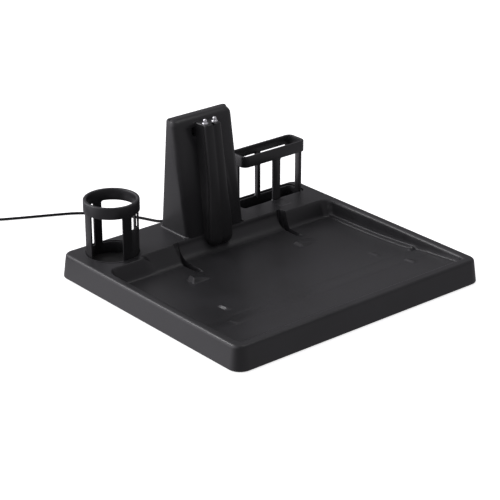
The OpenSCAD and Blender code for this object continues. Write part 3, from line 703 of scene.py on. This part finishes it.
def stations(low, high, fine, coarse):
    """Places from low to high: coarse steps, with finer ones inside the given spans."""
    places = [low]
    while places[-1] < high:
        here = places[-1]
        step = coarse
        for a, b, s in fine:
            if a - 1e-9 <= here < b - 1e-9:
                step = min(step, s)
            elif here < a < here + step:
                step = min(step, max(a - here, 0.2))
        places.append(min(here + step, high))
    return np.array(places)


def tray_rows(xs, ys, inset_rows, drop):
    """Rings of points outside the grid's rectangle.

    Each is given by its inset from the outline and a height, or None for the height of the top.
    """
    hx, hy = HALF_W - CORNER_R, HALF_D - CORNER_R
    edge = [((x, -hy), (0, -1)) for x in xs]
    edge += corner_normals(hx, -hy, -90)
    edge += [((hx, y), (1, 0)) for y in ys]
    edge += corner_normals(hx, hy, 0)
    edge += [((x, hy), (0, 1)) for x in xs[::-1]]
    edge += corner_normals(-hx, hy, 90)
    edge += [((-hx, y), (-1, 0)) for y in ys[::-1]]
    edge += corner_normals(-hx, -hy, 180)
    rows = []
    for inset, fixed in inset_rows:
        out = CORNER_R - inset
        px = np.array([p[0] + n[0] * out for p, n in edge])
        py = np.array([p[1] + n[1] * out for p, n in edge])
        pz = tray_height(px, py) - drop
        if fixed is not None:
            pz = np.minimum(pz, fixed)
        rows.append(list(zip(px, py, pz)))
    return rows


def corner_normals(x, y, start, steps=8):
    """A corner's centre with the directions of the points round it."""
    angles = [math.radians(start + 90 * k / steps) for k in range(1, steps)]
    return [((x, y), (math.cos(a), math.sin(a))) for a in angles]


def sheet_faces(nx, ny, flip):
    """Quads of a grid of points."""
    faces = []
    for j in range(ny - 1):
        for i in range(nx - 1):
            a = j * nx + i
            quad = (a, a + 1, a + nx + 1, a + nx)
            faces.append(quad[::-1] if flip else quad)
    return faces


def paint_socket_shade(tray):
    """The two sockets' insides take a darker, more matt plastic; its dark colour is painted shade in the
    recesses.
    """
    tray.data.materials.append(SOCKET_SHADE_PLASTIC)
    for face in tray.data.polygons:
        x, y, z = (c / MM for c in face.center)
        in_round = math.hypot(x - ROUND_AT[0], y - ROUND_AT[1]) < ROUND_SOCKET_R + 0.3
        slot_x, slot_y = (abs(c - at) - size / 2 for c, at, size in zip((x, y), SLOT_AT, SLOT_SIZE))
        in_slot = slot_x < 0.9 and slot_y < 0.9
        inside = (in_round or in_slot) and SOCKET_Z - 0.5 < z < DECK_Z - 0.3
        face.material_index = 1 if inside else 0


def add_tray():
    xs = stations(-(HALF_W - CORNER_R), HALF_W - CORNER_R, FINE_X, GRID_STEP)
    ys = stations(-(HALF_D - CORNER_R), HALF_D - CORNER_R, FINE_Y, GRID_STEP)
    gx, gy = np.meshgrid(xs, ys)
    top = tray_height(gx, gy)
    wall_arc = [math.radians(a) for a in (0, 12, 24, 36, 48, 60, 72, 82, 90)]
    side_in = DRAFT * 0.83
    roll = [(side_in + EDGE_R - EDGE_R * math.cos(a), DECK_Z - EDGE_R + EDGE_R * math.sin(a))
            for a in wall_arc[::-1]]
    flat = [(CORNER_R - s, None) for s in (0, 0.3, 0.6, 0.9, 1.25, 1.7, 2.2, 2.8, 3.4, 4.0, 4.8)]
    side_low, side_high = SKIRT_Z + 0.6, DECK_Z - EDGE_R
    side = [(side_in * k, side_low + (side_high - side_low) * k) for k in (0.8, 0.5, 0.2, 0)]
    outer = flat + roll + side + [(0.25, SKIRT_Z + 0.15), (0.6, SKIRT_Z)]
    inner = [(inset, None) for inset, _ in flat[:9]]
    inner += [(side_in + WALL + 0.6, DECK_Z - EDGE_R - 1), (WALL + 0.2, SKIRT_Z + 0.3), (WALL, SKIRT_Z)]
    outer_rows = tray_rows(xs, ys, outer, 0)
    inner_rows = tray_rows(xs, ys, inner, WALL)
    ring_verts, ring_faces = loop_rows(outer_rows + inner_rows[::-1])
    grid_top = list(zip(gx.ravel(), gy.ravel(), top.ravel()))
    grid_low = list(zip(gx.ravel(), gy.ravel(), top.ravel() - WALL))
    nx, ny = len(xs), len(ys)
    verts = ring_verts + grid_top + grid_low
    faces = list(ring_faces)
    start = len(ring_verts)
    faces += [tuple(start + k for k in f) for f in sheet_faces(nx, ny, False)]
    start += nx * ny
    faces += [tuple(start + k for k in f) for f in sheet_faces(nx, ny, True)]
    tray = solid("tray", verts, faces)
    cups = [
        cylinder_tool("cup", ROUND_SOCKET_R + WALL, SOCKET_Z - WALL, DECK_Z - 0.6, ROUND_AT),
        prism("cup", slot_outline(1 + WALL * 2), SOCKET_Z - WALL, DECK_Z - 0.6),
        cylinder_tool("collar", ROUND_SOCKET_R + 1.4, DECK_Z - 1, DECK_Z + 0.35, ROUND_AT),
    ]
    boolean(tray, cups, "UNION")
    holes = [
        cylinder_tool("socket", ROUND_SOCKET_R, SOCKET_Z, DECK_Z + 5, ROUND_AT),
        prism("socket", slot_outline(1), SOCKET_Z, DECK_Z + 5),
    ]
    boolean(tray, holes)
    finish_mesh(tray)
    become(tray, DOCK, "dock", "base_tray")
    # painted shade: a darker, more matt plastic inside the two sockets
    paint_socket_shade(tray)


def slot_outline(grow):
    """Plan of the long holder, made larger by grow in all."""
    return rounded_rectangle(SLOT_SIZE[0] + grow, SLOT_SIZE[1] + grow, SLOT_CORNER + grow / 2, 10, SLOT_AT)


# ---------- tower ----------
def tower_front_at(z):
    return TOWER_FRONT + TOWER_LEAN * (z - DECK_Z)


def tower_back_at(z):
    return TOWER_BACK - TOWER_BACK_LEAN * (z - DECK_Z)


def tower_ring(z, inset, inward=0.0, drop=0.0, steps=8):
    """The tower's plan at a height: soft front corners, crisp back ones, sides that spread slightly.

    Inward and drop roll the ring over towards the top, further at the front than at the back.
    """
    front_r = max(TOWER_FRONT_R - inset - 0.85 * inward, 1.0)
    back_r = max(TOWER_BACK_R - inset, 0.8)
    points = []
    for sx, start in ((1, -90), (1, 0), (-1, 90), (-1, 180)):
        front = start in (-90, 180)
        roll, sink = (1.5, 1.7) if front else (0.55, 0.85)
        height = z - drop * sink
        t = (height - DECK_Z) / (TOWER_TOP - DECK_Z)
        half = TOWER_HALF + (TOWER_TOP_HALF - TOWER_HALF) * t - inset - inward * roll
        if front:
            r, cy = front_r, tower_front_at(height) + inset + 1.9 * inward + front_r
        else:
            r, cy = back_r, tower_back_at(height) - inset - 0.3 * inward - back_r
        for k in range(steps + 1):
            a = math.radians(start + 90 * k / steps)
            x = sx * (half - r) + r * math.cos(a)
            points.append((x, cy + r * math.sin(a), height - TOP_ARCH * inward * (x / half) ** 2))
    return points


def tower_rows(inset, low, crown):
    """Rings from the foot to the crowned top."""
    rows = [tower_ring(z, inset) for z in np.linspace(low, TOWER_TOP - inset - 7.4, 7)]
    for k in range(1, 9):
        a = math.radians(90 * k / 8)
        drop = crown * (1 - math.sin(a))
        inward = crown * (1 - math.cos(a))
        rows.append(tower_ring(TOWER_TOP - inset, inset, inward, drop))
    return rows


def tower_hollow():
    return solid("hollow", *capped(tower_rows(TOWER_WALL, DECK_Z - 2, 3)))


COVER_HALF, COVER_LOW, COVER_HIGH, COVER_GAP = 26, 34, 128, 0.35
# a cut for the cover starts inside the tower and ends behind it
COVER_FROM, BEHIND = 106, 140
WINDOW_X, WINDOW_HALF, WINDOW_Z = 13.8, 2.6, (121, 129.6)


def add_tower():
    """The case with two blind windows at its head, and the cover let into its back."""
    tower = solid("tower_case", *capped(tower_rows(0, DECK_Z, TOWER_CROWN)))
    boolean(tower, [tower_hollow()])
    windows = [(s * WINDOW_X - WINDOW_HALF, s * WINDOW_X + WINDOW_HALF) for s in (-1, 1)]
    # a block behind each window keeps it blind
    blocks = [box_tool(x0 - 1.8, x1 + 1.8, 98.2, 104, WINDOW_Z[0] - 2, WINDOW_Z[1] + 2) for x0, x1 in windows]
    boolean(tower, blocks, "UNION")
    tools = [box_tool(x0, x1, 80, 102.5, *WINDOW_Z, radius=1.2) for x0, x1 in windows]
    tools.append(box_tool(-COVER_HALF, COVER_HALF, COVER_FROM, BEHIND, COVER_LOW, COVER_HIGH, radius=3))
    boolean(tower, tools)
    bevel(tower, 0.45, 2)
    become(tower, DOCK, "dock", "tower_shell")

    cover = solid("back_cover", *capped(tower_rows(0.1, DECK_Z + 1, TOWER_CROWN)))
    boolean(cover, [tower_hollow()])
    half = COVER_HALF - COVER_GAP
    panel = box_tool(-half, half, COVER_FROM, BEHIND, COVER_LOW + COVER_GAP, COVER_HIGH - COVER_GAP, 2.7)
    boolean(cover, [panel], "INTERSECT")
    grips = []
    for k in range(7):
        z = 112 + k * 1.9
        grips.append(box_tool(-9, 9, tower_back_at(z) - 0.7, BEHIND, z, z + 0.8, 0.38))
    # a bore for the screw at each corner
    for x in (-22, 22):
        for z in (COVER_LOW + 6, COVER_HIGH - 6):
            grips.append(turned_tool(2.0, x, z, tower_back_at(z) - 6, BEHIND))
    boolean(cover, grips)
    bevel(cover, 0.4, 2)
    become(cover, DOCK, "dock", "tower_back_cover")


def add_trim():
    """A thin satin strip round the tower's sides and back, rolled over at its top."""
    def foot_path(grow):
        ring = tower_ring(DECK_Z, -grow)
        front = len(ring) // 8
        return ring[front:-front]

    profile = [(0.1, 0), (1.9, 0), (1.88, 0.25), (1.7, 0.75), (1.3, 1.12), (0.8, 1.28), (0.1, 1.3)]
    rows = [[(x, y, DECK_Z + h) for x, y, _ in foot_path(g)] for g, h in profile]
    columns = [[row[k] for row in rows] for k in range(len(rows[0]))]
    trim = solid("foot_trim", *capped(columns))
    become(trim, TRIM, "dock", "tower_foot_trim")


# ---------- spine ----------
SPINE_LOW, SPINE_TOP = 13.0, 134.0
SPINE_FRONT, SPINE_LEAN = 69, 13
CHIN_H, CHIN_IN = 8.0, 3.2
SPINE_ROUND = 1.5
# half widths at its foot and its head: of its face, and where it joins the tower
FACE_HALF, ROOT_HALF, FOOT_FLARE = (11.5, 9.9), (16.5, 11), 2.6
# half of its face as (share of the half width, setback), and its side as (offset, setback)
SPINE_FACE = [(0, 0.9), (0.08, 0.8), (0.15, 0.48), (0.23, 0.18), (0.33, 0.03), (0.48, 0), (0.62, 0.1),
              (0.76, 0.45), (0.88, 1.15), (0.965, 2.3), (1, 3.6)]
SPINE_SIDE = [(0.05, 4.4), (-0.25, 4.9), (-0.25, 5.5), (0.3, 6.0)]
CONTACT_Y, CONTACT_HALF = 88.8, 5.8


def spine_front(z):
    return SPINE_FRONT + SPINE_LEAN * (max(z - SPINE_LOW, 0) / (SPINE_TOP - SPINE_LOW)) ** 1.5


def spine_ring(z, shrink=0.0):
    """Half outline mirrored: a blunt wedge with a rounded bead each side of a middle flute."""
    t = (z - SPINE_LOW) / (SPINE_TOP - SPINE_LOW)
    front = spine_front(z) + shrink
    back = tower_front_at(max(z, DECK_Z)) + 0.6
    wide = np.interp(t, (0, 1), FACE_HALF) + FOOT_FLARE * ease((74 - z) / 46) - shrink
    wide_back = max(np.interp(t, (0, 1), ROOT_HALF) - shrink, wide + 1)
    half = [(wide * share, front + setback) for share, setback in SPINE_FACE]
    half += [(wide + offset, front + setback) for offset, setback in SPINE_SIDE]
    deep = back - (front + 6.0)
    if deep < 1:
        half = [(x, min(y, back - 0.1)) for x, y in half]
        half.append((wide_back, back))
    else:
        for f in (0.35, 0.7, 1.0):
            half.append((wide + 0.3 + (wide_back - wide - 0.3) * f ** 1.3, front + 6.0 + deep * f))
    right = [(x, y, z) for x, y in half]
    left = [(-x, y, z) for x, y in half[:0:-1]]
    return right + left


def add_spine():
    chin = np.linspace(0, 1, 8)
    rows = [spine_ring(SPINE_LOW + CHIN_H * t, CHIN_IN * (1 - math.sqrt(1 - (1 - t) ** 2))) for t in chin]
    shoulder = SPINE_TOP - SPINE_ROUND
    rows += [spine_ring(z) for z in np.linspace(SPINE_LOW + CHIN_H + 3, shoulder, 24)]
    for a in np.radians(np.linspace(18, 90, 5)):
        rows.append(spine_ring(shoulder + SPINE_ROUND * math.sin(a), SPINE_ROUND * (1 - math.cos(a))))
    spine = solid("spine", *capped(rows))
    places = [(s * CONTACT_HALF, CONTACT_Y) for s in (-1, 1)]
    boolean(spine, [cylinder_tool("bore", 3.3, SPINE_TOP - 1.2, SPINE_TOP + 5, at, 48) for at in places])
    # a slot down the middle of the head, as the two raised guides leave between them
    boolean(spine, [box_tool(-1.4, 1.4, 76, 86.3, SPINE_TOP - 2.2, SPINE_TOP + 4)])
    finish_mesh(spine)
    become(spine, SATIN, "dock", "charging_spine")


def add_contacts():
    for side, word in ((-1, "left"), (1, "right")):
        centre = (side * CONTACT_HALF, CONTACT_Y)
        bush = [(2.06, SPINE_TOP - 2), (3.2, SPINE_TOP - 2), (3.2, SPINE_TOP + 0.35), (3.0, SPINE_TOP + 0.75),
                (2.7, SPINE_TOP + 1.05), (2.3, SPINE_TOP + 1.15), (2.08, SPINE_TOP + 1.0)]
        collar = lathe("contact_collar_" + word, bush, centre, 64)
        become(collar, CHROME, "dock", "contact_bush_" + word)
        foot, top, neck, head = 119, SPINE_TOP + 4.6, 1.4, 2.0
        profile = [(0.001, foot), (head, foot), (head, foot + 1.4), (neck, foot + 1.4), (neck, top - 4.4),
                   (1.9, top - 4.3), (head, top - 4.1), (head, top - head)]
        dome = np.radians(np.linspace(12, 88, 9))
        profile += [(head * math.cos(a), top - head + head * math.sin(a)) for a in dome]
        profile += [(0.001, top)]
        tip = lathe("contact_tip_" + word, profile, centre, 48)
        become(tip, CHROME, "contact_" + word, "contact_pin_" + word)


# ---------- holders ----------
def polar_tool(r0, r1, a0, a1, low, high, corner):
    """A tool between two radii and two angles, its upper corners rounded."""
    steps = max(6, int(abs(a1 - a0) / 4))
    mean = (r0 + r1) / 2
    outline = []
    width = math.radians(a1 - a0) * mean
    bottom = [(0, low), (width, low)]
    top = [(middle + corner * math.cos(a), high - corner + corner * math.sin(a))
           for middle, start in ((width - corner, 0), (corner, 90))
           for a in np.radians(np.linspace(start, start + 90, 5))]
    for p, q in zip(bottom + top, (bottom + top)[1:] + bottom[:1]):
        along, up = q[0] - p[0], q[1] - p[1]
        parts = max(1, int(abs(along) / (width / steps)))
        outline += [(p[0] + along * k / parts, p[1] + up * k / parts) for k in range(parts)]
    turned = [(math.radians(a0) + s / mean, z) for s, z in outline]
    rows = [[(ROUND_AT[0] + r * math.cos(a), ROUND_AT[1] + r * math.sin(a), z) for a, z in turned]
            for r in (r0, r1)]
    return solid("window", *capped(rows))


# openings below the round holder's band: two angles and the sill's height
ROUND_WINDOWS = [(-177, -102, SOCKET_Z + 2.3), (-79, -42, 52.5), (-25, -10, 24), (-3.5, 78, 24),
                 (99, 153, 24)]


def add_round_holder():
    low, top = SOCKET_Z + 0.1, ROUND_HIGH[2]
    band_low = top - BAND_H
    band_r, leg_r, bore = ROUND_BAND_R, ROUND_LEG_R, ROUND_BORE_R
    profile = [(bore + 0.4, low), (leg_r, low), (leg_r, band_low - 0.3), (band_r, band_low),
               (band_r, top - 1.1), (band_r - 0.12, top - 0.6), (band_r - 0.45, top - 0.2),
               (band_r - 1.0, top), (bore + 0.9, top), (bore + 0.35, top - 0.25), (bore, top - 0.8),
               (bore, band_low), (bore + 0.4, band_low - 0.2)]
    holder = lathe("round_rest", profile, ROUND_AT, 144)
    boolean(holder, [polar_tool(20, 30, a0, a1, sill, band_low, 2.2) for a0, a1, sill in ROUND_WINDOWS])
    bevel(holder, 0.35, 2, math.radians(50))
    become(holder, DOCK, "round_holder", "round_holder")


def add_slot_holder():
    low, top = SOCKET_Z + 0.1, SLOT_HIGH[2]
    band_low = top - BAND_H
    cx, cy = SLOT_AT[0], SLOT_AT[1]

    def ring(grow, z):
        return at_height(slot_outline(grow), z)

    leg = -1.2
    bore = leg - 4.2
    outer = [ring(leg, low), ring(leg, band_low - 0.3), ring(0, band_low), ring(0, top - 1.1),
             ring(-0.25, top - 0.5), ring(-0.8, top - 0.12), ring(-1.6, top)]
    inner = [ring(bore + 1.4, top), ring(bore + 0.5, top - 0.2), ring(bore, top - 0.8), ring(bore, low)]
    holder = solid("slot_rest", *loop_rows(outer + inner, closed_rows=True))
    end, sill = SLOT_SIZE[0] / 2 + 1, 23.4
    # the legs' spans from the middle: X for the first two, Y for the one at the right end
    front_leg, back_leg, end_leg = (-2.5, 7), (-6.8, -2.9), (-6.5, -0.3)
    high = band_low + 2.2

    def tool(x0, x1, y0, y1, z0, z1, radius=2.2):
        return box_tool(cx + x0, cx + x1, cy + y0, cy + y1, z0, z1, radius)

    # a window each side of the front leg and of the back one
    boolean(holder, [
        tool(-end, front_leg[0], -25, end_leg[0], sill, band_low),
        tool(front_leg[1], end, -25, end_leg[0], sill, band_low),
        tool(6 - end, back_leg[0], 4.2, 25, sill, high),
        tool(back_leg[1], end - 8, 4.2, 25, sill, high),
    ])
    # open corners and ends
    boolean(holder, [
        tool(-end, -end + 12, -25, -2.1, sill, band_low, 0),
        tool(end - 12, end, end_leg[1], 25, sill, band_low, 0),
        tool(-end, 7 - end, 4.2, 25, sill, band_low, 0),
    ])
    # slim posts in place of the legs' full depth
    boolean(holder, [
        tool(back_leg[0], back_leg[1], 7.5, 11.5, sill - 2, high + 1, 0),
        tool(36.8, 39.2, end_leg[0], end_leg[1], sill - 2, band_low + 2, 0),
    ], "UNION")
    bevel(holder, 0.35, 2, math.radians(50))
    become(holder, DOCK, "slot_holder", "slot_holder")


# ---------- feet, sleeves, adaptor and tie ----------
def add_feet():
    for word_y in ("front", "rear"):
        for word_x in ("left", "right"):
            node = "foot_%s_%s" % (word_y, word_x)
            low, high = box_mm(node)
            centre = (low + high) / 2
            profile = [(0.001, 0.35), (4.6, 0.35), (5, 0), (6.2, 0), (6.75, 0.2), (7, 0.55), (7, 1.2),
                       (0.001, 1.2)]
            become(lathe(node + "_pad", profile, centre, 48), RUBBER, "dock", node)


LEAD_BORE = 1.45


def sleeve(name, node, x, z, profile):
    """A rubber sleeve turned round the lead along Y, from (radius, y) points."""
    rows = [at_depth(circle((x, z), r, 40), y) for r, y in profile]
    become(solid(name, *loop_rows(rows, closed_rows=True)), RUBBER, "dock", node)


def add_gland():
    """The lead's tapered strain relief, with grooves that let it bend."""
    x, z = 10.0, 8.0
    profile = [(LEAD_BORE, 131), (3.0, 131), (3.0, 134.9), (4.2, 135.0), (4.2, 136.6), (3.9, 137.0),
               (3.1, 137.2)]
    for k in range(8):
        y = 138.2 + k * 2.0
        r = 3.1 - (y - 137) / 18 * 1.1
        profile += [(r, y), (r - 0.02, y + 0.9), (r - 0.5, y + 1.05), (r - 0.52, y + 1.55),
                    (r - 0.06, y + 1.7)]
    profile += [(2.0, 154.4), (1.9, 154.9), (LEAD_BORE, 155)]
    sleeve("lead_gland", "cord_gland", x, z, profile)


def add_relief():
    """The shorter relief where the lead enters the adaptor."""
    low, high = box_mm("adaptor_relief")
    x, z = (low[0] + high[0]) / 2, (low[2] + high[2]) / 2
    start, end = low[1], high[1]
    profile = [(LEAD_BORE, start + 1), (2.9, start + 1), (2.9, start + 3.4), (3.0, start + 3.5)]
    for k in range(5):
        y = start + 5 + k * 2.6
        r = 3.0 - (y - start - 3.5) / (end - start - 3.5) * 0.95
        profile += [(r, y), (r, y + 1.3), (r - 0.45, y + 1.5), (r - 0.47, y + 2.1), (r - 0.05, y + 2.3)]
    profile += [(2.05, end - 0.5), (1.9, end), (LEAD_BORE, end)]
    sleeve("adaptor_relief_boot", "adaptor_relief", x, z, profile)


PRONG_HALF, PRONG_IN = 6.35, 8


def add_adaptor():
    """The wall adaptor, in a body and a lid that its prongs stand on."""
    low, high = box_mm("adaptor_body")
    centre = ((low[0] + high[0]) / 2, (low[1] + high[1]) / 2)
    width, depth = high[0] - low[0], high[1] - low[1]
    seam, top = high[2], box_mm("adaptor_cover")[1][2]

    def ring(inset, z):
        corner = 6 - min(inset, 4)
        return at_height(rounded_rectangle(width - 2 * inset, depth - 2 * inset, corner, 10, centre), z)

    def shell(name, profile, node, tools):
        obj = solid(name, *capped([ring(i, z) for i, z in profile]))
        boolean(obj, tools)
        bevel(obj, 0.25, 2, math.radians(40))
        become(obj, SATIN, "dock", node)

    body = [(2.2, 0), (0.9, 0.25), (0.25, 1.0), (0, 2.4), (0, seam - 0.7), (0.5, seam - 0.35), (0.5, seam)]
    bore = turned_tool(2.95, centre[0], 14.0, high[1] - 8, high[1] + 4)
    shell("adaptor_shell", body, "adaptor_body", [bore])
    lid = [(0.5, seam + 0.02), (0, seam + 0.4), (0, top - 2.4), (0.3, top - 1), (1, top - 0.3), (2.2, top)]
    slots = []
    for s in (-1, 1):
        x, y = centre[0] + s * PRONG_HALF, centre[1] + PRONG_IN
        slots.append(box_tool(x - 0.8, x + 0.8, y - 3.2, y + 3.2, top - 3, top + 2))
    # shallow vents at the end away from the prongs
    for k in range(5):
        y = centre[1] - 20 + k * 3.2
        slots.append(box_tool(centre[0] - 9, centre[0] + 9, y, y + 1.2, top - 0.9, top + 1))
    shell("adaptor_lid", lid, "adaptor_cover", slots)


def add_tie():
    """A narrow strap round the coil, drawn in at its two ends."""
    start, span = math.radians(282), math.radians(20)
    side, grow = COIL_LAYERS * LEAD_D, 0.75
    middle = (16.5, 0.8 + side / 2)
    section = rounded_rectangle(side + 2 * grow, side + 2 * grow, 2.1, 6, middle)
    inner = rounded_rectangle(side + 0.2, side + 0.2, 1.5, 6, middle)

    def row(outline, angle, squeeze=0.0):
        drawn = [(r - squeeze * (r - middle[0]) / 6, max(z, 0.05)) for r, z in outline]
        return [(COIL_AT[0] + r * math.cos(angle), COIL_AT[1] + r * math.sin(angle), z) for r, z in drawn]

    angles = [start + span * f for f in (0.2, 0.24, 0.4, 0.6, 0.76, 0.8)]
    outer = [row(section, a, 0.25 if k in (0, 5) else 0) for k, a in enumerate(angles)]
    rows = outer + [row(inner, a) for a in (angles[-1], angles[0])]
    tie = solid("lead_tie", *loop_rows(rows, closed_rows=True))
    become(tie, JACKET, "dock", "cord_tie")


NODE_MATERIALS = {
    "steel": STEEL, "chrome": CHROME, "brass": BRASS, "circuit_board": BOARD, "connector_plastic": NYLON,
    "cord_jacket": JACKET, "rubber": RUBBER, "satin_plastic": SATIN, "dock_plastic": DOCK,
}


def dress_nodes():
    """Every CAD node that stays takes the detailed material of its slot."""
    for part in frame["record"]["subparts"]:
        obj = bpy.data.objects.get(part["node"])
        if obj is None or obj.type != "MESH" or obj.hide_render:
            continue
        obj.data.materials.clear()
        obj.data.materials.append(NODE_MATERIALS[part["material_slot"]])
        obj.data.shade_smooth()
        obj.data.set_sharp_from_angle(angle=EDGE_ANGLE)


add_gland()
add_relief()
add_adaptor()
add_tie()
add_cord()
add_tray()
add_tower()
add_trim()
add_spine()
add_contacts()
add_round_holder()
add_slot_holder()
add_feet()
dress_nodes()
